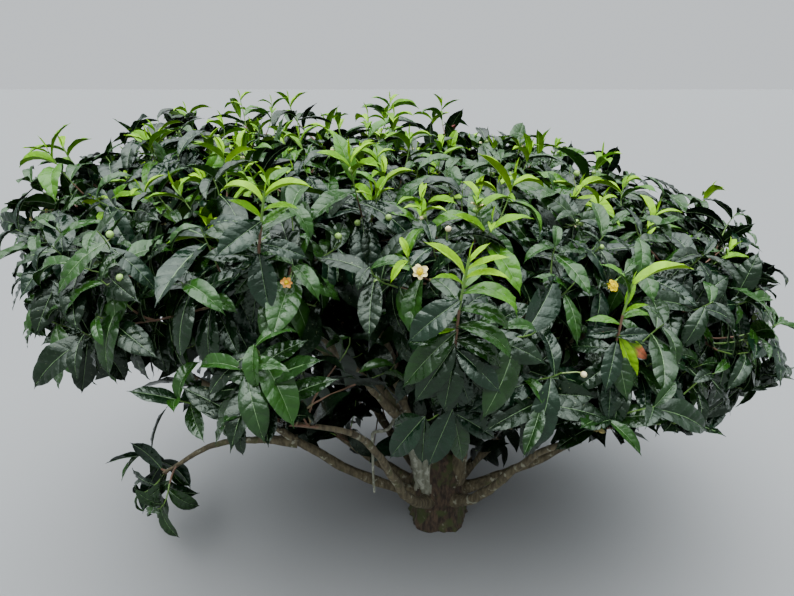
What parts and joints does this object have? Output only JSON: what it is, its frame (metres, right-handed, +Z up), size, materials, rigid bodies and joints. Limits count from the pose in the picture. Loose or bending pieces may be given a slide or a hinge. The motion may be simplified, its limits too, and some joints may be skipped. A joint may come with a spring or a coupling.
{
  "type": "tea bush",
  "caption": "Broad, flat-topped evergreen tea bush with a short flared trunk, spreading boughs and glossy leafy shoots, rooted in the ground.",
  "frame": {"origin": "middle of the trunk's flat cut at ground level", "axes": "+Z up, +X along the bush's width, -Y out of its open front"},
  "size_m": [2.0756, 1.6803, 1.2755],
  "materials": {
    "trunk_bark": "rough, cracked and mossy",
    "bough_bark": "dull, with pale lichen",
    "foliage": "leathery, glossy leaves"
  },
  "bodies": {
    "root": {"trunk": "trunk_bark", "bough_inner_1": "bough_bark", "bough_inner_2": "bough_bark", "bough_inner_3": "bough_bark", "bough_inner_4": "bough_bark", "bough_upper_1": "bough_bark", "bough_upper_2": "bough_bark", "bough_upper_3": "bough_bark", "bough_upper_4": "bough_bark", "bough_upper_5": "bough_bark", "bough_upper_6": "bough_bark", "bough_upper_7": "bough_bark", "bough_upper_8": "bough_bark", "bough_lower_1": "bough_bark", "bough_lower_2": "bough_bark", "bough_lower_3": "bough_bark", "bough_lower_4": "bough_bark", "bough_lower_5": "bough_bark", "bough_lower_6": "bough_bark", "bough_lower_7": "bough_bark", "bough_lower_8": "bough_bark", "bough_low_spray": "bough_bark", "foliage_inner_1": "foliage", "foliage_inner_2": "foliage", "foliage_inner_3": "foliage", "foliage_inner_4": "foliage", "foliage_upper_1": "foliage", "foliage_upper_2": "foliage", "foliage_upper_3": "foliage", "foliage_upper_4": "foliage", "foliage_upper_5": "foliage", "foliage_upper_6": "foliage", "foliage_upper_7": "foliage", "foliage_upper_8": "foliage", "foliage_lower_1": "foliage", "foliage_lower_2": "foliage", "foliage_lower_3": "foliage", "foliage_lower_4": "foliage", "foliage_lower_5": "foliage", "foliage_lower_6": "foliage", "foliage_lower_7": "foliage", "foliage_lower_8": "foliage", "foliage_low_spray": "foliage"}
  },
  "joints": []
}
